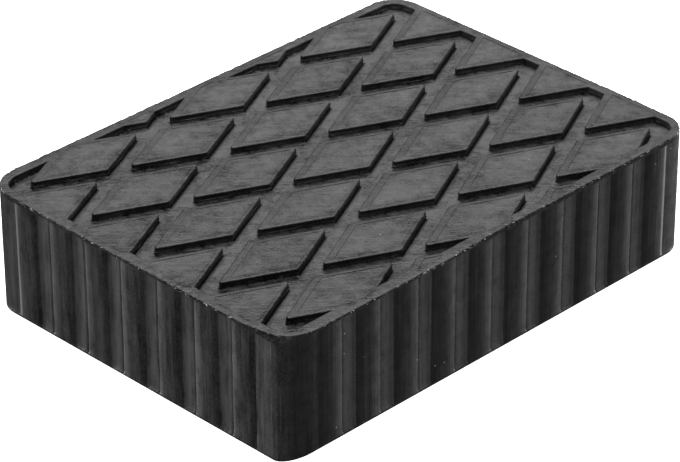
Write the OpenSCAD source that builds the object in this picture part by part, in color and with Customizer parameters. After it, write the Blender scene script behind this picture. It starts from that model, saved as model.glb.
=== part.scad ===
// Rubber pad for a car lift: one moulded block with a diamond tread on top
// and low upright ribs round its sides. Millimetres, Z up, X along the length.
// The origin is the middle of the flat underside.

/* [Block] */
// Length of the block, along X
pad_l = 160; // [120:1:240]
// Width of the block, along Y
pad_w = 117; // [90:1:180]
// Height of the block
pad_h = 38; // [24:0.5:60]
// Radius of the four upright corners
corner_r = 9; // [6:0.5:14]

/* [Diamond tread] */
// Distance between diamonds in one row, along X
diamond_l = 51.7; // [42:0.1:66]
// Distance between diamonds in one column, along Y
diamond_w = 25; // [20:0.1:34]
// Width of the grooves between the diamonds
groove_w = 4.8; // [3:0.1:6]
// Depth of the grooves
groove_depth = 2.4; // [1.5:0.1:3]
// Width of the rim round the tread
rim_w = 3; // [2.6:0.1:5]
// Radius of the corners of the tread, inside the rim
tread_r = 5; // [3:0.5:6]
// Width of the raised border on each diamond and along the rim
border_w = 1.8; // [1:0.1:2.4]
// How far the middle of a diamond is sunk below its border
field_sink = 0.15; // [0.1:0.05:0.4]

/* [Side ribs] */
// Spacing of the ribs along each side
rib_pitch = 14.25; // [12:0.05:20]
// Width of a rib
rib_w = 9.2; // [7:0.1:10.5]
// Height of a rib's rounded crest above the flats beside it
rib_h = 0.6; // [0.4:0.05:1.2]
// Height of a rib's sides above those flats
rib_edge = 0.2; // [0.1:0.05:0.3]
// Smallest plain stretch between the last rib and a rounded corner
rib_margin = 0.8; // [0.4:0.1:3]
// Height of the plain band above the ribs
top_band = 1.4; // [0.8:0.1:3]
// Height of the plain band below the ribs
foot_band = 0.5; // [0.4:0.1:3]

/* [Hidden] */
$fn = 96;

// A cut runs this far past the face that it opens
past = 1;

// Colour of the rubber
rubber = [0.11, 0.11, 0.115];

// Half diagonals of one cell of the diamond pattern
cell_x = diamond_l / 2;
cell_y = diamond_w / 2;

// Distance from the middle of a cell to one of its sides
cell_reach = cell_x * cell_y / norm([cell_x, cell_y]);

// Cells counted out from the middle far enough to cover the tread
columns = ceil(pad_l / diamond_l) + 1;
rows = ceil(pad_w / diamond_w) + 1;

// A rib's crest lies this far inside the face of the plain bands
rib_sink = 0.1;

// The round of a rib's crest
rib_rise = rib_h - rib_edge;
rib_r = (pow(rib_w / 2, 2) + pow(rib_rise, 2)) / (2 * rib_rise);

// Number of ribs that fit on a straight side between two corners
function rib_count(side) =
    floor((side - 2 * (corner_r + rib_margin) - rib_w) / rib_pitch) + 1;

// Outline of the block, moved in by inset, with corners of radius r
module outline(inset, r) {
    l = pad_l - 2 * inset;
    w = pad_w - 2 * inset;
    square([l - 2 * r, w], center = true);
    square([l, w - 2 * r], center = true);
    for (sx = [-1, 1], sy = [-1, 1])
        translate([sx * (l / 2 - r), sy * (w / 2 - r)])
            circle(r = r);
}

// One diamond whose sides lie inset inside the sides of its cell
module diamond(inset) {
    share = 1 - inset / cell_reach;
    a = cell_x * share;
    b = cell_y * share;
    polygon([[a, 0], [0, b], [-a, 0], [0, -b]]);
}

// Every diamond of the staggered pattern, with one in the middle of the block
module diamonds(inset) {
    for (i = [-columns:columns], j = [-rows:rows])
        if ((i + j) % 2 == 0)
            translate([i * cell_x, j * cell_y])
                diamond(inset);
}

// The grooves: the whole tread inside the rim, less the diamonds
module grooves() {
    translate([0, 0, pad_h - groove_depth])
        linear_extrude(groove_depth + past)
            difference() {
                outline(rim_w, tread_r);
                diamonds(groove_w / 2);
            }
}

// The shallow sunk middle of each diamond, which keeps a border round it
module sunk_fields() {
    translate([0, 0, pad_h - field_sink])
        linear_extrude(field_sink + past)
            intersection() {
                outline(border_w, corner_r - border_w);
                diamonds(groove_w / 2 + border_w);
            }
}

// Section of one rib: its crest on the line y = 0, the block towards +Y
module rib_section() {
    intersection() {
        translate([0, rib_r])
            circle(r = rib_r);
        translate([-rib_w / 2, -past])
            square([rib_w, rib_h + 3 * past]);
    }
}

// What is cut from one side to leave its ribs, the side's face on y = 0
module side_cut(side) {
    n = rib_count(side);
    span = (n - 1) * rib_pitch + rib_w;
    linear_extrude(pad_h - top_band - foot_band)
        difference() {
            translate([-span / 2, -past])
                square([span, past + rib_sink + rib_h]);
            for (k = [0:n - 1])
                translate([(k - (n - 1) / 2) * rib_pitch, rib_sink])
                    rib_section();
        }
}

// The cuts of all four sides
module rib_cuts() {
    for (turn = [0, 180]) {
        rotate([0, 0, turn])
            translate([0, -pad_w / 2, foot_band])
                side_cut(pad_l);
        rotate([0, 0, turn + 90])
            translate([0, -pad_l / 2, foot_band])
                side_cut(pad_w);
    }
}

// The whole moulding
module pad() {
    color(rubber)
        difference() {
            linear_extrude(pad_h)
                outline(0, corner_r);
            grooves();
            sunk_fields();
            rib_cuts();
        }
}

pad();
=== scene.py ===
"""Looks of a moulded rubber pad for a car lift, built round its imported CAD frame.

The pad is one closed mesh. Its plan is drawn here as a net that follows the edges of the diamond
tread, and a Geometry Nodes tree then moulds that net by the rules of the tread and of the side ribs.
Torn crumbs of flash along the top edge are scattered by a second tree. All lengths are metres.
"""

import logging
import math
from collections.abc import Callable, Iterable, Sequence
from dataclasses import dataclass, field
from enum import Enum

import bpy
import numpy as np
from mathutils import Euler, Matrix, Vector
from mathutils.geometry import delaunay_2d_cdt


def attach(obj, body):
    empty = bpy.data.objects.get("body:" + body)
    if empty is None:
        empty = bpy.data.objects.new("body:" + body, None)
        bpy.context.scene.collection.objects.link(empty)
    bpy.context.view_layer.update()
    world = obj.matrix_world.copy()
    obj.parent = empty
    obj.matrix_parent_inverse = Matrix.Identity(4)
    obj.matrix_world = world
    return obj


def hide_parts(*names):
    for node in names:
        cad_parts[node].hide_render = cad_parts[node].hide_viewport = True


logging.basicConfig(level=logging.INFO, format="%(name)s: %(message)s")
log = logging.getLogger("pad")

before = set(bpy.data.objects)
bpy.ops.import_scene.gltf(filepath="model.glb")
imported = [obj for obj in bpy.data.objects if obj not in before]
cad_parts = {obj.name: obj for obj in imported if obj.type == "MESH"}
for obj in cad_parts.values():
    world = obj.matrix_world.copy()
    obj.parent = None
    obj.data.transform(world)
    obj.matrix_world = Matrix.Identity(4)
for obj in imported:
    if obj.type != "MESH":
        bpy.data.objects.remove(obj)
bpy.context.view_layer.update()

MM = 0.001
CAD_NODE = "pad"
BODY = "root"


class Quantity:
    """A number field inside a node tree, so that a rule can be written as a formula."""

    def __init__(self, tree: bpy.types.NodeTree, socket: bpy.types.NodeSocket) -> None:
        """Wrap an output socket of a tree."""
        self.tree = tree
        self.socket = socket

    def math(self, operation: str, *others: "Quantity | float") -> "Quantity":
        """Add a Math node.

        Args:
            operation: Blender's name of the operation.
            others: The further operands.

        Returns:
            The result as a new quantity.
        """
        node = self.tree.nodes.new("ShaderNodeMath")
        node.operation = operation
        for socket, value in zip(node.inputs, (self, *others)):
            if isinstance(value, Quantity):
                self.tree.links.new(value.socket, socket)
            else:
                socket.default_value = float(value)
        return Quantity(self.tree, node.outputs[0])

    def __add__(self, other: "Quantity | float") -> "Quantity":
        """Sum."""
        return self.math("ADD", other)

    __radd__ = __add__

    def __mul__(self, other: "Quantity | float") -> "Quantity":
        """Product."""
        return self.math("MULTIPLY", other)

    __rmul__ = __mul__

    def __sub__(self, other: "Quantity | float") -> "Quantity":
        """Difference."""
        return self.math("SUBTRACT", other)

    def __rsub__(self, other: float) -> "Quantity":
        """Difference from a plain number."""
        return (self * -1.0) + other

    def __truediv__(self, other: "Quantity | float") -> "Quantity":
        """Quotient."""
        return self.math("DIVIDE", other)

    def __gt__(self, other: "Quantity | float") -> "Quantity":
        """1 where larger, else 0."""
        return self.math("GREATER_THAN", other)


# The formulas below work on plain numbers, on numpy arrays and on fields inside a node tree.
Number = "Quantity | np.ndarray | float"
Rule = Callable[[Number, Number], Number]
Point2 = tuple[float, float]
Point3 = tuple[float, float, float]
Table = tuple[Point2, ...]
Feeds = dict[str | int, object]


def absolute(x: Number) -> Number:
    """Size without sign."""
    return x.math("ABSOLUTE") if isinstance(x, Quantity) else np.abs(x)


def nearest(x: Number) -> Number:
    """Nearest whole number."""
    return (x + 0.5).math("FLOOR") if isinstance(x, Quantity) else np.floor(x + 0.5)


def root(x: Number) -> Number:
    """Square root, of zero for anything below zero."""
    return larger(x, 0.0).math("SQRT") if isinstance(x, Quantity) else np.sqrt(np.maximum(x, 0.0))


def larger(x: Number, y: Number) -> Number:
    """The larger of two."""
    return x.math("MAXIMUM", y) if isinstance(x, Quantity) else np.maximum(x, y)


def smaller(x: Number, y: Number) -> Number:
    """The smaller of two."""
    return x.math("MINIMUM", y) if isinstance(x, Quantity) else np.minimum(x, y)


def held(x: Number) -> Number:
    """The number, kept between 0 and 1."""
    return smaller(larger(x, 0.0), 1.0)


def ramp(x: Number, start: float, end: float) -> Number:
    """Smooth step from 0 at start to 1 at end."""
    t = held((x - start) / (end - start))
    return t * t * (t * -2.0 + 3.0)


def round_drop(distance: Number, radius: Number) -> Number:
    """How far a rounded edge lies below its face, at a distance inside that edge."""
    rest = radius - smaller(larger(distance, 0.0), radius)
    return radius - root(radius * radius - rest * rest)


def spaced(points: Sequence[Point2], spacing: float) -> list[Point2]:
    """Divide the long steps of a closed loop.

    Args:
        points: The loop.
        spacing: The longest step that may stay.

    Returns:
        The loop with the further points.
    """
    out = []
    for p, q in zip(points, [*points[1:], points[0]]):
        steps = max(1, math.ceil(math.dist(p, q) / spacing - 1e-6))
        out += [(p[0] + (q[0] - p[0]) * k / steps, p[1] + (q[1] - p[1]) * k / steps) for k in range(steps)]
    return out


def add_object(name: str, data: bpy.types.ID) -> bpy.types.Object:
    """Put a mesh, light or camera into the scene."""
    made = bpy.data.objects.new(name, data)
    bpy.context.scene.collection.objects.link(made)
    return made


def add_mesh(name: str, points: Sequence[Point3], edges: Sequence, faces: Sequence) -> bpy.types.Object:
    """Put a new mesh into the scene."""
    mesh = bpy.data.meshes.new(name)
    mesh.from_pydata(points, edges, faces)
    return add_object(name, mesh)


@dataclass(frozen=True)
class BlockSizes:
    """The plain block, and the rounding of its edges."""

    length: float = 160 * MM
    width: float = 117 * MM
    height: float = 38 * MM
    corner: float = 9 * MM
    front_corner: Point2 = (9.6 * MM, 4.9 * MM)
    top_edge: float = 0.25 * MM
    foot_edge: float = 0.15 * MM

    def outside(self, x: Number, y: Number, inset: float, corner: float) -> Number:
        """Signed distance outside the block's plan outline, moved in by an inset.

        Args:
            x: Place along the length.
            y: Place along the width.
            inset: How far the outline is moved in.
            corner: Radius of its corners.

        Returns:
            The distance, below zero inside.
        """
        px = absolute(x) - (self.length / 2 - inset - corner)
        py = absolute(y) - (self.width / 2 - inset - corner)
        qx, qy = larger(px, 0.0), larger(py, 0.0)
        return root(qx * qx + qy * qy) + smaller(larger(px, py), 0.0) - corner

    def ring(self, inset: float, corner: float, arc_steps: int, spacing: float) -> list[Point2]:
        """Points round a moved-in outline, counterclockwise.

        Args:
            inset: How far the outline is moved in.
            corner: Radius of its corners.
            arc_steps: Steps in each corner.
            spacing: Longest step along a straight side.

        Returns:
            The points of the closed ring.
        """
        a, b = self.length / 2 - inset - corner, self.width / 2 - inset - corner
        points = []
        for quarter, (cx, cy) in enumerate(((a, b), (-a, b), (-a, -b), (a, -b))):
            for k in range(arc_steps + 1):
                turn = math.pi / 2 * (quarter + k / arc_steps)
                points.append((cx + corner * math.cos(turn), cy + corner * math.sin(turn)))
        return spaced(points, spacing)


@dataclass(frozen=True)
class TopLip:
    """The thin uneven lip that the mould leaves round the top edge, in millimetres."""

    far: float = 0.35
    behind: Table = ((-50, 0.0), (-35, 0.3), (50, 0.35))
    left_corner: Table = ((0, 0.15), (0.4, 0.0), (1, 0.0))
    left: Table = ((-49, 0.0), (-30, 0.8), (20, 0.85), (44, 0.8), (49, 0), (53.6, -0.9))
    front: Table = ((0, -0.95), (0.35, -1.1), (0.55, -0.3), (0.8, 0.3), (1, 0.8))
    right: Table = ((-68, 1.1), (-18, 1.1), (-6, 0.3), (10, 0.2), (30, 0.4), (64, 0.3), (71, 0.0))
    right_corner: Table = ((0, 0.0), (0.5, -0.1), (1, 0.0))

    def reach(self, quarter: int, along: float, corner: bool) -> float:
        """How far the lip stands out.

        Args:
            quarter: Number of the side, or of the corner after it, counterclockwise from +X.
            along: Place along the side in metres, or share of the corner.
            corner: Whether the place is on a corner.

        Returns:
            The reach in metres, below zero where the edge is worn back.
        """
        tables = {
            (0, False): self.behind,
            (1, True): self.left_corner,
            (2, False): self.left,
            (2, True): self.front,
            (3, False): self.right,
            (3, True): self.right_corner,
        }
        table = tables.get((quarter, corner), ((0, self.far), (1, self.far)))
        return float(np.interp(along if corner else along / MM, *zip(*table))) * MM


@dataclass(frozen=True)
class TreadSizes:
    """The staggered diamonds, their grooves and the rim round them."""

    diamond_length: float = 51.7 * MM
    diamond_width: float = 25 * MM
    groove: float = 4.8 * MM
    depth: float = 2.4 * MM
    rim: float = 3 * MM
    pocket_corner: float = 5 * MM
    clean_corner: Point2 = (70.5 * MM, 52 * MM)
    stud_corner: float = 0.9 * MM
    lip: Point2 = (0.45 * MM, 0.55 * MM)
    fillet: float = 0.4 * MM
    border: float = 1.8 * MM
    sink: float = 0.15 * MM
    step: float = 0.12 * MM
    shift: float = 1.0 * MM
    wall_levels: tuple[float, ...] = (1.0, 0.46, 0.385, 0.31, 0.0)
    flash_level: int = 2

    @property
    def cell(self) -> Point2:
        """Half diagonals of one cell."""
        return self.diamond_length / 2, self.diamond_width / 2

    @property
    def reach(self) -> float:
        """Distance from the middle of a cell to its side."""
        a, b = self.cell
        return a * b / math.hypot(a, b)

    def folded(self, x: Number, y: Number) -> tuple[Number, Number]:
        """Place within the nearest cell, folded into its first quarter."""
        a, b = self.cell
        u, v = x / a, y / b
        p, q = (u + v) * 0.5, (u - v) * 0.5
        p, q = p - nearest(p), q - nearest(q)
        return absolute(p + q) * a, absolute(p - q) * b

    def inside_cell(self, x: Number, y: Number) -> Number:
        """Distance inside the sides of the nearest cell."""
        fx, fy = self.folded(x, y)
        a, b = self.cell
        return self.reach - (fx / a + fy / b) * self.reach

    def inside_stud(self, x: Number, y: Number) -> Number:
        """Signed distance inside the nearest diamond, whose corners are rounded.

        Args:
            x: Place along the length.
            y: Place along the width.

        Returns:
            The distance, below zero in the grooves.
        """
        fx, fy = self.folded(x, y)
        a, b = self.cell
        share = 1 - (self.groove / 2 + self.stud_corner) / self.reach
        a, b = a * share, b * share
        t = held(((a - fx) * a + fy * b) / (a * a + b * b))
        dx, dy = fx - (a - t * a), fy - t * b
        past = root(dx * dx + dy * dy)
        beyond = self.reach * share - (fx / a + fy / b) * (self.reach * share) > 0.0
        if not isinstance(beyond, Quantity):
            beyond = beyond.astype(float)
        return self.stud_corner + past * (beyond * 2.0 - 1.0)

    def centres(self, block: BlockSizes) -> Iterable[Point2]:
        """Centre of every diamond that touches the block."""
        a, b = self.cell
        columns = math.ceil(block.length / self.diamond_length) + 1
        rows = math.ceil(block.width / self.diamond_width) + 1
        for i in range(-columns, columns + 1):
            for j in range(-rows, rows + 1):
                if (i + j) % 2 == 0:
                    yield i * a, j * b

    def loop(self, centre: Point2, inset: float, corner: float, spacing: float) -> list[Point2]:
        """Outline of one diamond.

        Args:
            centre: The middle of its cell.
            inset: How far its sides lie inside those of the cell.
            corner: Radius of its corners.
            spacing: Longest step along a side.

        Returns:
            The points of the closed loop, counterclockwise.
        """
        share = 1 - (inset + corner) / self.reach
        a, b = self.cell[0] * share, self.cell[1] * share
        lean = math.atan2(self.cell[0], self.cell[1])
        turns = [-lean, lean, math.pi - lean, math.pi + lean, 2 * math.pi - lean]
        points = []
        for k, (cx, cy) in enumerate(((a, 0), (0, b), (-a, 0), (0, -b))):
            first, last = turns[k], turns[k + 1]
            steps = max(3, round((last - first) / 0.35)) if corner > 0 else 0
            for s in range(steps + 1):
                turn = first + (last - first) * s / max(steps, 1)
                px, py = corner * math.cos(turn), corner * math.sin(turn)
                points.append((centre[0] + cx + px, centre[1] + cy + py))
        return spaced(points, spacing)


@dataclass(frozen=True)
class SidePlace:
    """Where a point lies among the ribs of its side.

    It holds the place along the side from the middle of its ribs, 0 or 0.5 as a rib or a gap stands
    in that middle, half the length of the ribbed stretch, and 1 or -1 for the way along which the
    gaps get deeper.
    """

    along: Number
    odd: Number
    run: Number
    hand: Number


@dataclass(frozen=True)
class RibSizes:
    """The low upright ribs round the sides."""

    pitch: float = 14.25 * MM
    width: float = 9.2 * MM
    height: float = 0.6 * MM
    edge: float = 0.2 * MM
    sink: float = 0.1 * MM
    margin: float = 0.8 * MM
    top_band: float = 1.4 * MM
    flank: float = 0.12 * MM
    lean: float = 0.2 * MM
    run_out: float = 0.8 * MM
    foot_run_out: float = 1.0 * MM
    crease: float = 0.12 * MM
    corner_dip: float = 0.5 * MM
    shift: tuple[float, float, float, float] = (0.0, 0.0, 0.25 * MM, 0.55 * MM)

    def count(self, side: float, corner: float) -> int:
        """Number of ribs on a straight side."""
        return math.floor((side - 2 * (corner + self.margin) - self.width) / self.pitch) + 1

    def middles(self, side: float, corner: float) -> list[float]:
        """Where the ribs of a side stand, along it."""
        n = self.count(side, corner)
        return [(k - (n - 1) / 2) * self.pitch for k in range(n)]

    def off_middle(self, p: SidePlace, ahead: float = 0.0) -> Number:
        """Place off the middle of the nearest rib, in spacings, or with 0.5 ahead of the nearest gap."""
        place = p.along / self.pitch - p.odd + ahead
        return place - nearest(place)

    def across(self, p: SidePlace) -> Number:
        """Place across a rib: 0 on its middle and 1 on its far edge."""
        return self.off_middle(p) * p.hand * (2 * self.pitch / self.width)

    def within(self, p: SidePlace) -> Number:
        """1 on the ribbed stretch of a side, else 0."""
        return 1.0 - ramp(absolute(p.along), p.run - self.flank / 2, p.run + self.flank / 2)

    def beside(self, p: SidePlace) -> Number:
        """1 in the gaps between the ribs, else 0."""
        local = absolute(self.off_middle(p)) * self.pitch
        return ramp(local, self.width / 2 - self.flank / 2, self.width / 2 + self.flank / 2) * self.within(p)

    def shoulder(self, p: SidePlace, shown: Number) -> Number:
        """How much painted highlight the far shoulder of a rib gets, most of all on the last rib of a side.

        Args:
            p: The place among the ribs.
            shown: 1 on the sides that show, else 0.

        Returns:
            The share of painted highlight.
        """
        place = self.across(p)
        last = ramp(p.along * p.hand - p.run, -2.5 * MM, -0.5 * MM)
        rise = ramp(place, 0.0, 0.95) * 0.45 + ramp(place, 0.6, 1.0) * (last * shown + 0.15)
        return rise * (1.0 - ramp(place, 1.0, 1.03)) * self.within(p)

    def plateau(self, p: SidePlace) -> Number:
        """1 on the near half of a rib, beside its crest, else 0."""
        place = self.across(p)
        return ramp(place, -0.65, -0.35) * (1.0 - ramp(place, -0.1, 0.3)) * self.within(p)

    def creased(self, p: SidePlace) -> Number:
        """1 in the fine crease beside the far shoulder of a rib, else 0."""
        place = self.across(p)
        return ramp(place, 1.0, 1.03) * (1.0 - ramp(place, 1.045, 1.08)) * self.within(p)

    def dip(self, p: SidePlace) -> Number:
        """How far the side lies inside the plain bands.

        Args:
            p: The place among the ribs.

        Returns:
            The depth of the dip.
        """
        share = smaller(absolute(self.off_middle(p)) * (2 * self.pitch / self.width), 1.0)
        crest = share * share * root(share) * (self.height - self.edge)
        beside = self.beside(p)
        slope = self.off_middle(p, 0.5) * p.hand * (self.pitch / (self.pitch - self.width)) - 0.35
        floor = self.height + slope * self.lean
        line = self.creased(p) * self.crease
        return (self.sink + crest * (1.0 - beside) + beside * floor + line) * self.within(p)


class PlanNet:
    """Points and edges of a plan drawing, cut to a rounded outline and filled with triangles."""

    clip = 0.1 * MM

    def __init__(self, block: BlockSizes, inset: float) -> None:
        """Start a drawing for a block whose own outer ring is moved in by an inset."""
        self.block = block
        self.keep = inset + self.clip
        self.points: list[Point2] = []
        self.edges: list[tuple[int, int]] = []

    def outside(self, x: Number, y: Number) -> Number:
        """Signed distance outside the outline that loops are cut to."""
        return self.block.outside(x, y, self.keep, self.block.corner - self.keep)

    def add_ring(self, ring: Sequence[Point2]) -> None:
        """Add a closed ring that lies wholly inside."""
        first = len(self.points)
        self.points += ring
        self.edges += [(first + k, first + (k + 1) % len(ring)) for k in range(len(ring))]

    def add_clipped(self, loop: Sequence[Point2]) -> None:
        """Add the parts of a loop that lie inside the outline."""
        xy = np.array(loop)
        depth = -self.outside(xy[:, 0], xy[:, 1])
        index: dict[int, int] = {}
        for k in range(len(loop)):
            n = (k + 1) % len(loop)
            if depth[k] < 0 and depth[n] < 0:
                continue
            ends = []
            for here, there in ((k, n), (n, k)):
                if depth[here] >= 0:
                    if here not in index:
                        index[here] = len(self.points)
                        self.points.append(loop[here])
                    ends.append(index[here])
                    continue
                inner, outer = np.array(loop[there]), np.array(loop[here])
                for _ in range(30):
                    mid = (inner + outer) / 2
                    if self.outside(mid[0], mid[1]) < 0:
                        inner = mid
                    else:
                        outer = mid
                ends.append(len(self.points))
                self.points.append((float(inner[0]), float(inner[1])))
            self.edges.append((ends[0], ends[1]))

    def fill(self, outer: Sequence[Point2]) -> tuple[np.ndarray, list[tuple[int, ...]], list[int]]:
        """Fill the drawing with triangles.

        Args:
            outer: The closed outer ring.

        Returns:
            The points, the triangles, and where each point of the outer ring went.
        """
        shift = len(self.points)
        points = [Vector((x / MM, y / MM)) for x, y in [*self.points, *outer]]
        ring = [shift + k for k in range(len(outer))]
        made, _, faces, origin, _, _ = delaunay_2d_cdt(points, self.edges, [ring], 1, 1e-5)
        where = {i: k for k, sources in enumerate(origin) for i in sources}
        plan = np.array([(p[0], p[1]) for p in made]) * MM
        return plan, [tuple(f) for f in faces], [where[i] for i in ring]


class Graph:
    """A node tree that is written in script."""

    def __init__(self, tree: bpy.types.NodeTree) -> None:
        """Take the tree that the nodes go into."""
        self.tree = tree

    def feed(self, source: object, target: bpy.types.NodeSocket) -> None:
        """Link a quantity or a socket to a node's input, or set a plain value on it."""
        if isinstance(source, Quantity):
            source = source.socket
        if isinstance(source, bpy.types.NodeSocket):
            self.tree.links.new(source, target)
        else:
            target.default_value = source

    def node(self, kind: str, feeds: Feeds | None = None, **settings: object) -> bpy.types.Node:
        """Add a node.

        Args:
            kind: Blender's name of the kind of node.
            feeds: What goes into its inputs, by their names or numbers.
            settings: Its properties.

        Returns:
            The node.
        """
        made = self.tree.nodes.new(kind)
        for name, value in settings.items():
            setattr(made, name, value)
        for name, value in (feeds or {}).items():
            self.feed(value, made.inputs[name])
        return made

    def take(self, made: bpy.types.Node, output: "str | int" = 0) -> Quantity:
        """One output of a node as a quantity."""
        return Quantity(self.tree, made.outputs[output])

    def split(self, vector: bpy.types.NodeSocket) -> tuple[Quantity, Quantity, Quantity]:
        """The three parts of a vector."""
        made = self.node("ShaderNodeSeparateXYZ", {0: vector})
        return tuple(self.take(made, k) for k in range(3))


class NodeTree(Graph):
    """A Geometry Nodes tree with named inputs."""

    def __init__(self, name: str) -> None:
        """Make an empty tree with a geometry input and output."""
        super().__init__(bpy.data.node_groups.new(name, "GeometryNodeTree"))
        for way in ("INPUT", "OUTPUT"):
            self.tree.interface.new_socket("Geometry", in_out=way, socket_type="NodeSocketGeometry")
        self.inside = self.node("NodeGroupInput")
        self.outside = self.node("NodeGroupOutput")
        self.values: dict[str, float] = {}

    def named(self, name: str, value: float, kind: str = "NodeSocketFloat") -> Quantity:
        """Add a named input, whose value the modifier gets.

        Args:
            name: Name of the input.
            value: Its value.
            kind: Blender's name of the kind of socket.

        Returns:
            The input as a quantity.
        """
        socket = self.tree.interface.new_socket(name, in_out="INPUT", socket_type=kind)
        self.values[socket.identifier] = value
        return Quantity(self.tree, next(s for s in self.inside.outputs if s.identifier == socket.identifier))

    def stored(self, name: str) -> Quantity:
        """Number that the mesh stores under a name."""
        made = self.node("GeometryNodeInputNamedAttribute", {"Name": name}, data_type="FLOAT")
        return self.take(made, "Attribute")

    def place(self) -> bpy.types.NodeSocket:
        """Each point's place."""
        return self.node("GeometryNodeInputPosition").outputs[0]

    def chance(self, seed: int) -> Quantity:
        """Random number from 0 to 1 on every point."""
        return self.take(self.node("FunctionNodeRandomValue", {"Seed": seed}, data_type="FLOAT"), 1)

    def jolt(self, seed: int, factor: Quantity) -> bpy.types.NodeSocket:
        """Random vector on every point, whose parts reach up to a factor either way."""
        feeds = {0: (-1.0,) * 3, 1: (1.0,) * 3, "Seed": seed}
        made = self.node("FunctionNodeRandomValue", feeds, data_type="FLOAT_VECTOR")
        return self.times(made.outputs[0], factor)

    def times(self, vector: bpy.types.NodeSocket, factor: Quantity) -> bpy.types.NodeSocket:
        """Vector times a number."""
        return self.node("ShaderNodeVectorMath", {0: vector, "Scale": factor}, operation="SCALE").outputs[0]

    def joined(self, x: Quantity, y: Quantity, z: Quantity) -> bpy.types.NodeSocket:
        """Vector of three numbers."""
        return self.node("ShaderNodeCombineXYZ", {0: x, 1: y, 2: z}).outputs[0]

    def finish(
        self, geometry: bpy.types.NodeSocket, values: dict[str, Quantity], material: bpy.types.Material
    ) -> "NodeTree":
        """Store numbers for the material on every point, and end in Realize Instances and Set Material.

        Args:
            geometry: The geometry so far.
            values: The numbers, by the names that the material reads.
            material: What the result is painted with.

        Returns:
            The finished tree.
        """
        for name, value in values.items():
            feeds = {"Geometry": geometry, "Name": name, "Value": value}
            made = self.node("GeometryNodeStoreNamedAttribute", feeds, data_type="FLOAT", domain="POINT")
            geometry = made.outputs[0]
        real = self.node("GeometryNodeRealizeInstances", {0: geometry})
        painted = self.node("GeometryNodeSetMaterial", {0: real.outputs[0], "Material": material})
        self.feed(painted.outputs[0], self.outside.inputs[0])
        return self

    def apply(self, source: bpy.types.Object, name: str) -> bpy.types.Object:
        """Run the tree on an object and keep the result as a plain mesh.

        Args:
            source: The object that carries the starting mesh, which is removed.
            name: Name of the finished piece.

        Returns:
            The finished piece.
        """
        modifier = source.modifiers.new("rule", "NODES")
        modifier.node_group = self.tree
        for identifier, value in self.values.items():
            modifier[identifier] = value
        bpy.context.view_layer.update()
        evaluated = source.evaluated_get(bpy.context.evaluated_depsgraph_get())
        mesh = bpy.data.meshes.new_from_object(evaluated)
        mesh.name = name
        source.modifiers.remove(modifier)
        bpy.data.objects.remove(source)
        log.info("%s: %d points, %d faces", name, len(mesh.vertices), len(mesh.polygons))
        return add_object(name, mesh)


class Shader(Graph):
    """One procedural material."""

    def __init__(self, name: str, **uniform: object) -> None:
        """Make a material with one shader.

        Args:
            name: Name of the material.
            uniform: The shader's numbers and colours that are the same all over.
        """
        self.material = bpy.data.materials.new(name)
        self.material.use_nodes = True
        super().__init__(self.material.node_tree)
        self.surface = self.tree.nodes["Principled BSDF"]
        self.place = self.node("ShaderNodeTexCoord").outputs["Object"]
        for socket, value in uniform.items():
            self.surface.inputs[socket.replace("_", " ")].default_value = value

    def paint(self, socket: str, value: object) -> None:
        """Give the shader a colour or number that varies over the piece."""
        self.feed(value, self.surface.inputs[socket])

    def noise(self, scale: Point3, detail: float = 4.0, rough: float = 0.55, turn: float = 0.0) -> Quantity:
        """Noise on object coordinates.

        Args:
            scale: Cells to the metre, along each axis.
            detail: Number of finer layers.
            rough: Strength of each finer layer.
            turn: How far the axes are turned about Z.

        Returns:
            The noise, about 0.5 in the middle.
        """
        turned = self.node("ShaderNodeMapping", {"Vector": self.place, "Rotation": (0.0, 0.0, turn)})
        stretched = self.node("ShaderNodeMapping", {"Vector": turned.outputs[0], "Scale": scale})
        feeds = {"Vector": stretched.outputs[0], "Scale": 1.0, "Detail": detail, "Roughness": rough}
        return self.take(self.node("ShaderNodeTexNoise", feeds))

    def specks(self, scale: float, size: float, share: float) -> Quantity:
        """Small scattered dots.

        Args:
            scale: Cells to the metre.
            size: Radius of a dot, as a share of a cell.
            share: Share of the cells that hold a dot.

        Returns:
            1 on a dot, else 0.
        """
        cells = self.node("ShaderNodeTexVoronoi", {"Vector": self.place, "Scale": scale})
        parts = self.node("ShaderNodeSeparateColor", {0: cells.outputs["Color"]})
        radius = self.take(parts, 1) * size + size * 0.4
        return (self.take(parts) > (1.0 - share)) * ((radius - self.take(cells, "Distance")) > 0.0)

    def stored(self, name: str) -> Quantity:
        """Number that the piece's mesh stores under a name."""
        return self.take(self.node("ShaderNodeAttribute", attribute_name=name), "Fac")

    def over(self, share: Quantity, below: object, colour: object) -> bpy.types.NodeSocket:
        """Lay one colour over another, by a share.

        Args:
            share: How much of the upper colour shows.
            below: The lower colour, or a socket that gives it.
            colour: The upper colour, or a socket that gives it.

        Returns:
            The mixed colour.
        """
        a, b = (c if isinstance(c, bpy.types.NodeSocket) else (*c, 1.0) for c in (below, colour))
        made = self.node("ShaderNodeMix", {"A": a, "B": b, "Factor": share}, data_type="RGBA")
        return made.outputs["Result"]

    def bump(self, height: Quantity, distance: float) -> None:
        """Raise the surface by a height field."""
        feeds = {"Height": height, "Distance": distance, "Strength": 1.0}
        self.paint("Normal", self.node("ShaderNodeBump", feeds).outputs[0])


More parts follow.
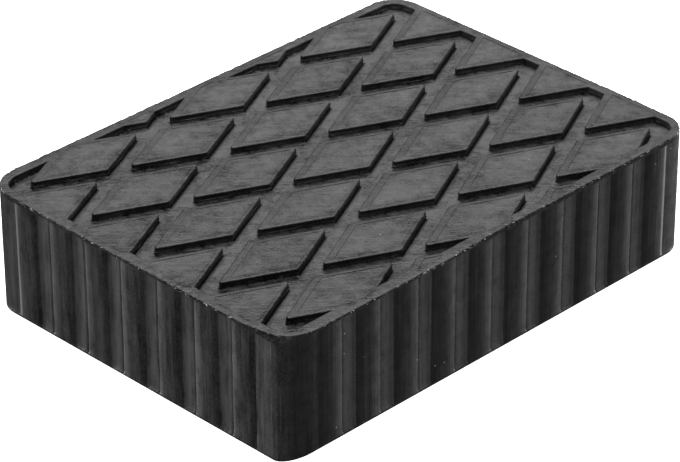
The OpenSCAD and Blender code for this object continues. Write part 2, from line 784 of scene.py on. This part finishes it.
@dataclass(frozen=True)
class RubberFinish:
    """Black moulded rubber with a satin skin, scuffs and a little bloom, and painted shade and highlights
    where the light falls.
    """

    dark: Point3 = (0.004, 0.004, 0.0042)
    light: Point3 = (0.13, 0.13, 0.1305)
    # Colour of the painted shade on the sunk border.
    border: Point3 = (0.03, 0.03, 0.0305)
    side: Point3 = (0.036, 0.036, 0.0365)
    # Dust, also used for the painted sheen on the far shoulders of the ribs.
    dust_and_sheen: Point3 = (0.1, 0.1, 0.101)
    # Flash colour, also used for painted light at the wall feet and painted highlight on the rib shoulders.
    pale: Point3 = (0.26, 0.26, 0.262)
    speck: Point3 = (0.4, 0.4, 0.39)
    top_tone: float = 0.36
    # How fast the painted light on the top grows towards the back.
    back_light_slope: float = 1.1
    side_tone: float = 0.47
    roughness: float = 0.35
    relief: float = 0.3 * MM

    def material(self, height: float, field_depth: Rule, at_back: Rule) -> bpy.types.Material:
        """Build the material.

        Args:
            height: Height of the block.
            field_depth: Distance inside the sunk middle of a diamond.
            at_back: 1 nearest the far edges of that middle, else 0.

        Returns:
            The material.
        """
        s = Shader("black_rubber", Specular_IOR_Level=0.3)
        x, y, z = s.split(s.place)
        depth, back = field_depth(x, y), at_back(x, y)
        upright = 1.0 - ramp(s.stored("top_zone"), 0.4, 0.6)
        low = 1.0 - ramp(z, height - 1.7 * MM, height - 1.2 * MM)
        left = 1.0 - ramp(x, -79.5 * MM, -77 * MM)
        mottle = s.noise((260, 260, 260), 3.0, 0.6) - 0.5
        streaks = s.noise((110, 1300, 300), 3.0, 0.6, turn=math.pi / 4) - 0.5
        grain = s.noise((1700, 1700, 1700), 2.0, 0.5) - 0.5
        runs = s.noise((1100, 1100, 30), 3.0, 0.6) - 0.5
        broad = s.noise((50, 50, 50), 2.0, 0.5) - 0.5
        blotches = s.noise((420, 420, 75), 4.0, 0.6) - 0.5
        seam, shoulder = s.stored("seam"), s.stored("shoulder")
        middle = ramp(depth, 0.0, 3.5 * MM) * 0.12
        # Painted light: the top grows lighter towards the back, as if lit more strongly there.
        slope = (x + y) * self.back_light_slope + self.top_tone
        tone = held(mottle * 1.1 + broad * 0.8 + streaks * 0.6 + grain * 0.8 + middle + slope)
        edging = (1.0 - ramp(depth, -0.1 * MM, 0.1 * MM)) * (1.0 - low)
        # Painted shade: the sunk border band is darker, most of all along its far edges, and a dark line is
        # painted along the step there.
        border_shade = smaller(back * 2.0, 1.0) * (1.0 - ramp(x, 75 * MM, 76 * MM) * 0.8) * 0.45 + 0.04
        line = (1.0 - ramp(absolute(depth), 0.1 * MM, 0.25 * MM)) * back
        flank = runs * 1.2 + blotches * (left * 2.2 + 0.5) + mottle * 0.8 + grain * (left * 1.4 + 0.6)
        uneven = runs * 1.4 + blotches * (left * 2.2 + 0.4) + mottle + grain + 1.0
        # Each colour is laid over those before it: first on the top, then on the sides, and the specks last.
        body = s.over(tone, self.dark, self.light)
        for share, colour in (
            # Painted shade on the border band and along the step at its far edges.
            (edging * border_shade, self.border),
            (line * (1.0 - low) * 0.45, self.dark),
            (low * ramp(tone, 0.1, 0.9) * 0.8, self.dust_and_sheen),
            # Painted shade on the groove floor at the foot of the right-facing near walls.
            (ramp(s.stored("wall_foot_shade") + grain + mottle, 0.3, 0.6), self.dark),
            # Pale dashes at the foot of the near walls: flash specks, and painted light that lifts the shade
            # there.
            (ramp(s.stored("foot") + streaks * 2.0 + grain, 0.55, 1.05) * 0.9, self.pale),
            # Painted shade on the rounded top edges of the near walls.
            (s.stored("edge_roll_shade") * 0.75, self.dark),
            # Pale seam along the walls: flash specks, and painted highlight where its ledge would catch the
            # light.
            (ramp(seam + streaks + grain, 0.5, 0.9), self.dust_and_sheen),
            (ramp(seam + grain * 2.0 + mottle * 1.5, 0.95, 1.2) * 0.8, self.speck),
            (upright, s.over(held(flank + self.side_tone), self.dark, self.side)),
            (upright * ramp(runs, 0.08, 0.3) * (left * 0.35 + 0.25), self.dust_and_sheen),
            # Dust in the gaps between the ribs, and painted sheen on the far shoulders of the ribs.
            (held((s.stored("rib_gap") * 0.64 + shoulder) * uneven), self.dust_and_sheen),
            # Painted highlight on the far shoulder, strongest on the last rib of a side.
            (ramp(shoulder, 0.7, 1.5) * 0.8, self.pale),
            # Painted shade in the fine crease beside each far shoulder.
            (s.stored("crease") * 0.6, self.dark),
            (s.specks(1 / (3.4 * MM), 0.045, 0.1), self.speck),
        ):
            body = s.over(share, body, colour)
        s.paint("Base Color", body)
        s.paint("Roughness", tone * 0.3 + line * 0.1 + self.roughness)
        skin = (grain * 0.35 + streaks * 0.35 + mottle * 0.7) * (1.0 - upright)
        s.bump(skin + runs * upright * (left * 0.12 + 0.12), self.relief)
        return s.material


class Zone(Enum):
    """The two zones of the pad's mesh, as stored on its points."""

    SIDE = 0.0
    TOP = 1.0


@dataclass(frozen=True)
class RimPoint:
    """A point on the block's outline, with its outward direction and its place on its side."""

    x: float
    y: float
    nx: float
    ny: float
    along: float
    odd: float
    run: float
    hand: float
    lip: float
    plain: float
    strip: float
    ridge: float = 0.0

    def pushed(self, out: float) -> Point2:
        """The point, moved outwards."""
        return self.x + self.nx * out, self.y + self.ny * out


SIDE_VALUES = ("nx", "ny", "along", "odd", "run", "hand", "ridge", "plain", "strip")


@dataclass
class RubberPad:
    """The whole moulding: block, diamond tread and ribbed sides."""

    block: BlockSizes = field(default_factory=BlockSizes)
    top_lip: TopLip = field(default_factory=TopLip)
    tread: TreadSizes = field(default_factory=TreadSizes)
    ribs: RibSizes = field(default_factory=RibSizes)
    finish: RubberFinish = field(default_factory=RubberFinish)
    spacing: float = 2.5 * MM
    side_spacing: float = 0.7 * MM
    outer_strip: float = 1.2 * MM
    corner_steps: int = 22
    sharp_angle: float = 60.0
    seed: int = 7

    def rim_points(self) -> list[RimPoint]:
        """Points round the block's outline, each with its place on its side.

        Returns:
            The points, counterclockwise, the right-hand short side first.
        """
        b, r = self.block, self.ribs
        out: list[RimPoint] = []
        for quarter in range(4):
            side, across = (b.width, b.length) if quarter % 2 == 0 else (b.length, b.width)
            start = quarter * math.pi / 2
            normal = (math.cos(start), math.sin(start))
            tangent = (-normal[1], normal[0])
            n = r.count(side, b.corner)
            run = (n - 1) / 2 * r.pitch + r.width / 2
            own = {"odd": 0.0 if n % 2 else 0.5, "run": run, "hand": 1.0 if quarter in (0, 3) else -1.0}
            before = b.front_corner[0] if quarter == 3 else b.corner
            after = b.front_corner[1] if quarter == 2 else b.corner
            stops = self.side_stops(side, before, after, r.shift[quarter])
            for along in stops:
                x, y = (normal[k] * across / 2 + tangent[k] * along for k in (0, 1))
                place = along - r.shift[quarter]
                beyond = float(ramp(abs(place), run - r.flank / 2, run + r.flank / 2))
                at_front = (quarter == 2 and along > 0) or (quarter == 3 and along < 0)
                plain, strip = 0.0 if at_front else beyond, beyond if quarter == 2 and at_front else 0.0
                lip = self.top_lip.reach(quarter, along, False)
                # The mould ridge stands where the left side meets the front corner.
                ridge = float(quarter == 2 and along == stops[-1])
                rest = {"lip": lip, "plain": plain, "strip": strip, "ridge": ridge}
                out.append(RimPoint(x, y, *normal, place, **rest, **own))
            # The corner is part of an ellipse: of a circle, except at the front.
            rx, ry = b.front_corner if quarter == 2 else (b.corner, b.corner)
            cx = math.copysign(b.length / 2 - rx, normal[0] + tangent[0])
            cy = math.copysign(b.width / 2 - ry, normal[1] + tangent[1])
            for k in range(1, self.corner_steps):
                share = k / self.corner_steps
                turn = start + math.pi / 2 * k / self.corner_steps
                px, py = math.cos(turn), math.sin(turn)
                length = math.hypot(px / rx, py / ry)
                plain, strip = float(ramp(abs(2 * share - 1), 0.1, 0.95)), 0.0
                if quarter == 2:
                    plain, strip = 0.0, 1.0 - float(ramp(k, 3.0, 6.0))
                rest = {"lip": self.top_lip.reach(quarter, share, True), "plain": plain, "strip": strip}
                spot = (cx + rx * px, cy + ry * py, px / rx / length, py / ry / length, 1.0)
                out.append(RimPoint(*spot, **rest, **own))
        return out

    def side_stops(self, side: float, before: float, after: float, shift: float) -> list[float]:
        """Places along one straight side that its ribs need, from one corner to the other.

        Args:
            side: Length of the side, with its corners.
            before: Length of the corner at the start.
            after: Length of the corner at the end.
            shift: How far the ribs of this side stand off the middle.

        Returns:
            The places, from the middle of the side.
        """
        first, last = before - side / 2, side / 2 - after
        w, f = self.ribs.width / 2, self.ribs.flank / 2
        flanks = (-f - 0.35 * MM, -f, -f / 3, f / 3, f, 0.14 * MM, 0.2 * MM, 0.28 * MM, 0.38 * MM)
        crests = (-0.78, -0.6, -0.42, -0.25, -0.08, 0.08, 0.25, 0.42, 0.6, 0.78)
        stops = {first, last, last - 0.3 * MM}
        for middle in self.ribs.middles(side, self.block.corner):
            stops |= {middle + shift + hand * (w + d) for hand in (-1, 1) for d in flanks}
            stops |= {middle + shift + w * share for share in crests}
        kept = sorted(s for s in stops if first <= s <= last)
        out = [kept[0]]
        for stop in kept[1:]:
            gap = stop - out[-1]
            if gap < 1e-6:
                continue
            steps = math.ceil(gap / self.side_spacing - 1e-6)
            out += [out[-1] + gap * k / steps for k in range(1, steps)]
            out.append(stop)
        return out

    def side_rows(self) -> list[Point3]:
        """The level rings of the sides, from the foot to just below the top edge.

        Returns:
            Height, inset and share of the top lip of each ring.
        """
        b, r = self.block, self.ribs

        def rounding(edge: float, *turns: float) -> list[Point2]:
            """How far from the face, and how far inwards, the rings on a rounded edge lie."""
            return [(edge * (1 - math.sin(t)), edge * (1 - math.cos(t))) for t in turns]

        bottom = rounding(b.foot_edge, math.pi / 2, math.pi / 3, math.pi / 6, 0)
        crown = rounding(b.top_edge, 0, math.pi / 8, math.pi / 4, 3 * math.pi / 8)
        foot = [(up, inset, 0.0) for up, inset in bottom]
        low, high = b.foot_edge, b.height - r.top_band
        stops = [low + (r.foot_run_out - low) * k / 3 for k in range(1, 4)]
        stops += list(np.linspace(r.foot_run_out, high - r.run_out, 17)[1:-1])
        stops += [high - r.run_out * (1 - k / 5) for k in range(6)]
        lip = [(b.height - down * MM, 0.0, share) for down, share in ((1.05, 0.35), (0.7, 0.8), (0.45, 1.0))]
        top = [(b.height - down, inset, 1.0) for down, inset in crown]
        return foot + [(z, 0.0, 0.0) for z in stops] + lip + top

    def tread_net(self) -> PlanNet:
        """Draw every edge of the tread in plan.

        Returns:
            The drawing.
        """
        t, b = self.tread, self.block
        net = PlanNet(b, self.outer_strip)
        lips = [d * MM for d in (0.0, 0.04, 0.13, 0.3, 0.55, 0.7)]
        bases = [d * MM for d in (0.13, 0.4, 0.7, 1.2)]
        fields = [t.border + s for s in (-t.step - 0.08 * MM, -t.step, 0.0, t.step, t.step + 0.08 * MM)]
        rings = [(t.rim - d, t.pocket_corner + d, 14) for d in lips]
        rings += [(t.rim + d, t.pocket_corner - d, 12) for d in bases]
        rings += [(d, b.corner - d, 14) for d in fields]
        for inset, corner, steps in rings:
            net.add_ring(b.ring(inset, corner, steps, self.spacing))
        loops = [(0.0, t.groove / 2 + d, max(t.stud_corner - d, 0.25 * MM)) for d in lips]
        loops += [(0.0, t.groove / 2 - d, t.stud_corner + d) for d in bases]
        loops += [(t.shift, t.groove / 2 + d, 0.0) for d in fields]
        for x, y in t.centres(b):
            for shift, inset, corner in loops:
                net.add_clipped(t.loop((x + shift, y), inset, corner, self.spacing))
        return net

    def land_depth(self, x: Number, y: Number) -> Number:
        """Distance inside the raised parts of the tread.

        Args:
            x: Place along the length.
            y: Place along the width.

        Returns:
            The distance, below zero in the grooves.
        """
        rim = self.block.outside(x, y, self.tread.rim, self.tread.pocket_corner)
        # The tread's four corners are clean curves: the diamonds whose tips just reach them stop at the rim.
        cx, cy = self.tread.clean_corner
        corner = ramp(absolute(x), cx, cx + 0.1 * MM) * ramp(absolute(y), cy, cy + 0.1 * MM)
        return larger(self.tread.inside_stud(x, y) - corner * 0.01, rim)

    def field_depth(self, x: Number, y: Number) -> Number:
        """Distance inside the sunk middle of a diamond."""
        edge = self.block.outside(x, y, 0.0, self.block.corner) * -1.0
        inside = self.tread.inside_cell(x - self.tread.shift, y)
        return smaller(inside - self.tread.groove / 2, edge) - self.tread.border

    def at_back(self, x: Number, y: Number) -> Number:
        """1 nearest the far edges of a sunk middle, over half at its left edges and 0 at its front ones."""
        reach = 0.08 * MM
        return ramp(self.field_depth(x, y) - self.field_depth(x + reach, y + reach), 0.005 * MM, 0.06 * MM)

    def sunk(self, x: Number, y: Number) -> Number:
        """Share of the sink: a clear step at the far edges, a gentle slope at the front ones.

        Args:
            x: Place along the length.
            y: Place along the width.

        Returns:
            The share, above 1 in the fine line along the clear step.
        """
        depth, back = self.field_depth(x, y), self.at_back(x, y)
        step = self.tread.step
        gentle = ramp(depth, 0.7 * MM - self.tread.border, step)
        line = 1.0 - ramp(absolute(depth), 0.0, step)
        return gentle + (ramp(depth, -step, step) - gentle + line * 0.6) * back

    def outward(self, plan: np.ndarray) -> np.ndarray:
        """Direction from the land out into the groove.

        Args:
            plan: The points of the plan.

        Returns:
            One direction a point.
        """
        x, y, step = plan[:, 0], plan[:, 1], 0.02 * MM
        along = self.land_depth(x - step, y) - self.land_depth(x + step, y)
        across = self.land_depth(x, y - step) - self.land_depth(x, y + step)
        slope = np.stack([along, across], 1)
        return slope / np.maximum(np.linalg.norm(slope, axis=1), 1e-9)[:, None]

    def starting_mesh(self) -> bpy.types.Object:
        """Build the net that the rule moulds: level rings for the sides, and the plan of the tread.

        Returns:
            An object whose points store what the rule needs.
        """
        rim, rows = self.rim_points(), self.side_rows()
        count = len(rim)
        places: list[Point3] = []
        for z, inset, share in rows:
            places += [(*s.pushed(s.lip * share - inset), z) for s in rim]
        faces: list[tuple[int, ...]] = []
        for row in range(len(rows) - 1):
            for k in range(count):
                n = (k + 1) % count
                faces.append((row * count + k, row * count + n, (row + 1) * count + n, (row + 1) * count + k))
        faces.append(tuple(reversed(range(count))))
        outer = [s.pushed(s.lip - self.block.top_edge) for s in rim]
        plan, triangles, ring = self.tread_net().fill(outer)
        middle = np.array([[plan[i] for i in t] for t in triangles]).mean(1)
        land = self.land_depth(middle[:, 0], middle[:, 1]) > 0
        # A point on the edge of a groove is there on every level of the wall, from the land to the floor.
        levels = self.tread.wall_levels
        outward = self.outward(plan)
        start = len(places)
        index: dict[tuple[int, int], int] = {}

        def point(i: int, level: int) -> int:
            """Index of a plan point on one level, made on first use."""
            key = (i, level)
            if key not in index:
                index[key] = len(places)
                places.append((plan[i][0], plan[i][1], self.block.height))
            return index[key]

        sides: dict[tuple[int, int], bool] = {}
        floor = len(levels) - 1
        for corners, raised in zip(triangles, land):
            faces.append(tuple(point(i, 0 if raised else floor) for i in corners))
            for p, q in zip(corners, (*corners[1:], corners[0])):
                sides[(p, q)] = bool(raised)
        for (p, q), raised in sides.items():
            if raised and sides.get((q, p), True) is False:
                for level in range(floor):
                    faces.append((point(q, level), point(p, level), point(p, level + 1), point(q, level + 1)))
        last = (len(rows) - 1) * count
        for k in range(count):
            n = (k + 1) % count
            faces.append((last + k, last + n, point(ring[n], 0), point(ring[k], 0)))
        tail = [0.0] * len(index)
        store = {name: [getattr(s, name) for s in rim] * len(rows) + tail for name in SIDE_VALUES}
        store["nx"][start:] = [outward[i][0] for i, _ in index]
        store["ny"][start:] = [outward[i][1] for i, _ in index]
        store["zone"] = [Zone.SIDE.value] * start + [Zone.TOP.value] * len(index)
        store["lift"] = [1.0] * start + [levels[level] for _, level in index]
        store["flash"] = [0.0] * start + [float(level == self.tread.flash_level) for _, level in index]
        made = add_mesh("starting_net", places, [], faces)
        for name, values in store.items():
            made.data.attributes.new(name, "FLOAT", "POINT").data.foreach_set("value", values)
        log.info("net: %d points, %d faces", len(places), len(faces))
        return made

    def unevenness(
        self, tree: NodeTree, x: Quantity, y: Quantity, z: Quantity
    ) -> tuple[bpy.types.NodeSocket, Quantity]:
        """Shake the skin a little, and the ragged top edge more.

        Args:
            tree: The tree.
            x: Place along the length.
            y: Place along the width.
            z: Height.

        Returns:
            How far each point moves, and 1 in the patches where a seam stands out.
        """
        wobble, ragged = tree.named("Wobble", 0.05 * MM), tree.named("Ragged Edge", 1.0 * MM)
        feeds = {"W": float(self.seed), "Scale": 900.0, "Detail": 2.0, "Roughness": 0.6}
        feeds["Vector"] = tree.place()
        noise = tree.node("ShaderNodeTexNoise", feeds, noise_dimensions="4D").outputs["Color"]
        shake = tree.node("ShaderNodeVectorMath", {0: noise, 1: (0.5, 0.5, 0.5)}, operation="SUBTRACT")
        patches = ramp(tree.take(tree.node("ShaderNodeTexNoise", {"Scale": 90.0})), 0.42, 0.62) * 0.8 + 0.2
        inward = self.block.outside(x, y, 0.0, self.block.corner) * -1.0
        high = ramp(z, self.block.height - 2 * MM, self.block.height - 0.3 * MM)
        near_edge = high * (1.0 - ramp(inward, 0.4 * MM, 1.6 * MM)) * patches
        reach = (wobble + ragged * near_edge) * ramp(z, 0.0, 1 * MM)
        return tree.times(shake.outputs[0], reach), ramp(tree.split(noise)[0], 0.4, 0.6)

    def rule(self, material: bpy.types.Material) -> NodeTree:
        """Write the moulding rule as a Geometry Nodes tree.

        Args:
            material: What the result is painted with.

        Returns:
            The tree.
        """
        b, t, r = self.block, self.tread, self.ribs
        tree = NodeTree("moulded_block")
        height = tree.named("Block Height", b.height)
        depth = tree.named("Groove Depth", t.depth)
        sink = tree.named("Field Sink", t.sink)
        relief = tree.named("Rib Relief", 1.0)
        x, y, z = tree.split(tree.place())
        zone, lift, nx, ny, plain, strip, flash, ridge = (
            tree.stored(name) for name in ("zone", "lift", "nx", "ny", "plain", "strip", "flash", "ridge")
        )
        side = SidePlace(*(tree.stored(name) for name in ("along", "odd", "run", "hand")))
        # The tread: the land, the grooves' floor and the walls between them.
        inside, near, upright = self.land_depth(x, y), ny * -1.0, 1.0 - zone
        facing = ramp(nx, -0.2, 0.3) * ramp(near, 0.0, 0.5)
        land = height - round_drop(inside, facing * (t.lip[1] - t.lip[0]) + t.lip[0]) - sink * self.sunk(x, y)
        floor = height - depth + round_drop(inside * -1.0, t.fillet)
        top = floor + (land - floor) * lift
        # The sides: the ribs and the dips between them, which run out at the plain bands.
        high = b.height - r.top_band
        taper = held((z - 0.1 * MM) / r.foot_run_out) * (1.0 - ramp(z, high - r.run_out, high))
        standing = ramp(taper, 0.2, 0.8) * upright
        dip = (r.dip(side) + plain * r.corner_dip) * taper * relief * upright
        shaken, patchy = self.unevenness(tree, x, y, z)
        seam, ridge = patchy * flash, patchy * ridge * taper
        push = seam * tree.named("Wall Seam", 0.25 * MM) + ridge * tree.named("Mould Ridge", 0.2 * MM) - dip
        place = tree.joined(x + nx * push, y + ny * push, z + (top - z) * zone)
        feeds = {"Geometry": tree.inside.outputs[0], "Position": place, "Offset": shaken}
        moved = tree.node("GeometryNodeSetPosition", feeds)
        # What the material reads.
        left = 1.0 - ramp(x, -78.5 * MM, -77 * MM)
        shown = 1.0 - ramp(x + y, 50 * MM, 80 * MM)
        # Pale flash dashes and painted light at the foot of the near walls.
        foot = ramp(inside, -0.7 * MM, -0.1 * MM) * (1.0 - ramp(lift, 0.0, 0.3)) * ramp(near, 0.3, 0.7)
        # Painted shade on the rounded top edges of the near walls.
        edge_roll_shade = (1.0 - ramp(inside, 0.1 * MM, 0.6 * MM)) * ramp(lift, 0.5, 1.0) * ramp(near, 0.2, 0.6)
        values = {
            "rib_gap": (r.beside(side) + plain * 0.7 + strip * 0.8) * standing,
            # Painted highlight on the far shoulders, and a paler band on the near half of each rib on the
            # left side.
            "shoulder": (r.shoulder(side, shown) + r.plateau(side) * left * 0.2) * standing,
            # Painted shade in the fine crease beside each far shoulder.
            "crease": r.creased(side) * standing,
            "top_zone": zone,
            # Painted shade where the groove floor meets the right-facing near walls.
            "wall_foot_shade": ramp(inside, -0.9 * MM, -0.2 * MM) * (1.0 - lift) * zone * facing,
            "foot": foot * zone * (1.0 - facing * 0.7),
            "edge_roll_shade": edge_roll_shade * zone * (1.0 - facing * 0.9),
            # The seam carries flash specks and a painted highlight.
            "seam": seam * zone * (1.0 - facing * 0.6),
        }
        return tree.finish(moved.outputs[0], values, material)

    def build(self) -> bpy.types.Object:
        """Mould the block and put it in the frame in place of the CAD solid.

        Returns:
            The finished piece.
        """
        material = self.finish.material(self.block.height, self.field_depth, self.at_back)
        piece = self.rule(material).apply(self.starting_mesh(), "pad_block")
        for name in ("zone", "lift", "flash", *SIDE_VALUES):
            spare = piece.data.attributes.get(name)
            if spare is not None:
                piece.data.attributes.remove(spare)
        piece.data.shade_smooth()
        piece.data.set_sharp_from_angle(angle=math.radians(self.sharp_angle))
        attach(piece, BODY)
        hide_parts(CAD_NODE)
        return piece


@dataclass(frozen=True)
class CrumbFinish:
    """Torn rubber, paler where its broken faces catch the light."""

    dark: Point3 = (0.03, 0.03, 0.0305)
    pale: Point3 = (0.32, 0.32, 0.315)

    def material(self) -> bpy.types.Material:
        """Build the material."""
        s = Shader("torn_rubber", Roughness=0.6, Specular_IOR_Level=0.3)
        s.paint("Base Color", s.over(ramp(s.noise((600, 600, 600), 2.0), 0.44, 0.68), self.dark, self.pale))
        return s.material


@dataclass
class EdgeCrumbs:
    """Crumbs of torn flash along the top edge of the two sides that show."""

    pad: RubberPad = field(default_factory=RubberPad)
    finish: CrumbFinish = field(default_factory=CrumbFinish)
    count: int = 900
    kept: float = 0.3
    smallest: float = 0.05 * MM
    largest: float = 0.36 * MM
    shape: Point3 = (0.7, 0.8, 2.0)
    spread: float = 0.25 * MM
    turn: float = 0.6
    seed: int = 11

    def starting_mesh(self) -> bpy.types.Object:
        """Draw the line of the top edge along which the crumbs lie."""
        rim = [s for s in self.pad.rim_points() if min(s.nx, s.ny) < -0.8 or max(s.nx, s.ny) < 0]
        level = self.pad.block.height - self.pad.block.top_edge * 0.6
        places = [(*s.pushed(s.lip), level) for s in rim]
        return add_mesh("edge_line", places, [(k, k + 1) for k in range(len(places) - 1)], [])

    def rule(self, material: bpy.types.Material) -> NodeTree:
        """Write the scattering rule as a Geometry Nodes tree.

        Args:
            material: What the crumbs are painted with.

        Returns:
            The tree.
        """
        tree = NodeTree("edge_crumbs")
        count = tree.named("Places", self.count, "NodeSocketInt")
        kept = tree.named("Share Kept", self.kept)
        smallest = tree.named("Smallest", self.smallest)
        largest = tree.named("Largest", self.largest)
        spread = tree.named("Spread", self.spread)
        turn = tree.named("Turn", self.turn)
        curve = tree.node("GeometryNodeMeshToCurve", {0: tree.inside.outputs[0]})
        feeds = {"Curve": curve.outputs[0], "Count": count}
        points = tree.node("GeometryNodeCurveToPoints", feeds, mode="COUNT")
        feeds = {"Geometry": points.outputs["Points"], "Selection": tree.chance(self.seed) > kept}
        thinned = tree.node("GeometryNodeDeleteGeometry", feeds, domain="POINT")
        feeds = {"Geometry": thinned.outputs[0], "Offset": tree.jolt(self.seed + 1, spread)}
        strewn = tree.node("GeometryNodeSetPosition", feeds)
        chance = tree.chance(self.seed + 2)
        size = smallest + (largest - smallest) * chance * chance
        ball = tree.node("GeometryNodeMeshIcoSphere", {"Radius": 1.0, "Subdivisions": 1})
        feeds = {
            "Points": strewn.outputs[0],
            "Instance": ball.outputs["Mesh"],
            "Scale": tree.joined(*(size * part for part in self.shape)),
            "Rotation": points.outputs["Rotation"],
        }
        placed = tree.node("GeometryNodeInstanceOnPoints", feeds)
        feeds = {"Instances": placed.outputs[0], "Rotation": tree.jolt(self.seed + 3, turn)}
        turned = tree.node("GeometryNodeRotateInstances", feeds)
        return tree.finish(turned.outputs[0], {}, material)

    def build(self) -> bpy.types.Object:
        """Scatter the crumbs.

        Returns:
            The finished piece.
        """
        piece = self.rule(self.finish.material()).apply(self.starting_mesh(), "edge_crumbs")
        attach(piece, BODY)
        return piece


@dataclass(frozen=True)
class SoftLight:
    """One soft box that faces the pad."""

    name: str
    azimuth: float
    elevation: float
    distance: float
    size: Point2
    watts: float

    def build(self) -> None:
        """Hang the soft box, by its direction from the pad in degrees."""
        data = bpy.data.lights.new(self.name, "AREA")
        data.shape = "RECTANGLE"
        data.size, data.size_y = self.size
        data.energy = self.watts
        turn, lift = math.radians(self.azimuth), math.radians(self.elevation)
        way = Vector((math.cos(turn) * math.cos(lift), math.sin(turn) * math.cos(lift), math.sin(lift)))
        made = add_object(self.name, data)
        made.location = way * self.distance + Vector((0, 0, 0.018))
        made.rotation_euler = (-way).to_track_quat("-Z", "Y").to_euler()


@dataclass
class Studio:
    """Pale floor, soft light and the camera at the photograph's angle."""

    world: float = 0.14
    floor_tone: float = 0.8
    floor_half: float = 6.0
    lights: tuple[SoftLight, ...] = (
        SoftLight("overhead", 50.0, 67.0, 0.95, (0.8, 0.8), 13.2),
        SoftLight("right_graze", -1.0, -0.3, 1.5, (0.2, 0.04), 54.0),
        SoftLight("right_side", -8.0, -0.3, 1.5, (0.2, 0.04), 30.0),
        SoftLight("left_side", 98.0, -0.3, 1.5, (0.2, 0.04), 50.0),
        SoftLight("left_fill", 115.0, -0.3, 1.5, (0.2, 0.04), 4.0),
        SoftLight("front", 225.0, 1.0, 1.5, (0.4, 0.06), 6.5),
    )
    eye: Point3 = (-0.620416, -0.621049, 0.531555)
    aim: Point3 = (1.037448, 0.003786, -0.785874)
    lens: float = 192.529
    shift: Point2 = (-0.00052, 0.00021)

    def floor(self) -> None:
        """Lay the floor, which doesn't throw its own light back at the pad."""
        half, tone = self.floor_half, self.floor_tone
        corners = [(-half, -half, 0), (half, -half, 0), (half, half, 0), (-half, half, 0)]
        made = add_mesh("studio_floor", corners, [], [(0, 1, 2, 3)])
        white = {"Emission_Color": (1.0, 1.0, 1.0, 1.0), "Emission_Strength": 1.5}
        s = Shader("pale_floor", Roughness=0.85, Specular_IOR_Level=0.2, **white)
        s.paint("Base Color", s.over(s.noise((3, 3, 3), 2.0), (tone,) * 3, (tone + 0.02,) * 3))
        made.data.materials.append(s.material)
        made.visible_diffuse = made.visible_glossy = made.visible_shadow = False

    def screens(self) -> None:
        """Stand two low grey screens by the far sides, which keep the side lights off them."""
        s = Shader("grey_screen", Roughness=0.9)
        s.paint("Base Color", s.over(s.noise((3, 3, 3), 2.0), (0.3,) * 3, (0.32,) * 3))
        x, y, gap, top = 80 * MM, 58.5 * MM, 30 * MM, 38.5 * MM
        for name, (x0, y0), (x1, y1) in (
            ("screen_right", (x + gap, -y), (x + gap, y + gap)),
            ("screen_left", (-x - 4 * MM, y + gap), (x + gap, y + gap)),
        ):
            corners = [(x0, y0, 0), (x1, y1, 0), (x1, y1, top), (x0, y0, top)]
            made = add_mesh(name, corners, [], [(0, 1, 2, 3)])
            made.data.materials.append(s.material)
            made.visible_camera = False

    def sky(self) -> None:
        """Fill the room with even white light."""
        world = bpy.data.worlds.new("studio")
        world.use_nodes = True
        back = world.node_tree.nodes["Background"]
        back.inputs["Color"].default_value = (1.0, 1.0, 1.0, 1.0)
        back.inputs["Strength"].default_value = self.world
        bpy.context.scene.world = world
        bpy.context.scene.view_settings.view_transform = "Standard"

    def camera(self) -> None:
        """Set the camera where the photograph was taken from."""
        data = bpy.data.cameras.new("camera")
        data.sensor_width = 36.0
        data.lens = self.lens
        data.shift_x, data.shift_y = self.shift
        data.clip_start, data.clip_end = 0.05, 50.0
        made = add_object("camera", data)
        made.location = self.eye
        made.rotation_euler = Euler(self.aim, "XYZ")
        bpy.context.scene.camera = made

    def build(self) -> None:
        """Set up the studio."""
        self.floor()
        self.screens()
        self.sky()
        for light in self.lights:
            light.build()
        self.camera()
        log.info("studio: %d soft lights", len(self.lights))


def main() -> None:
    """Build the pad and the studio."""
    RubberPad().build()
    EdgeCrumbs().build()
    Studio().build()


if __name__ == "__main__":
    main()
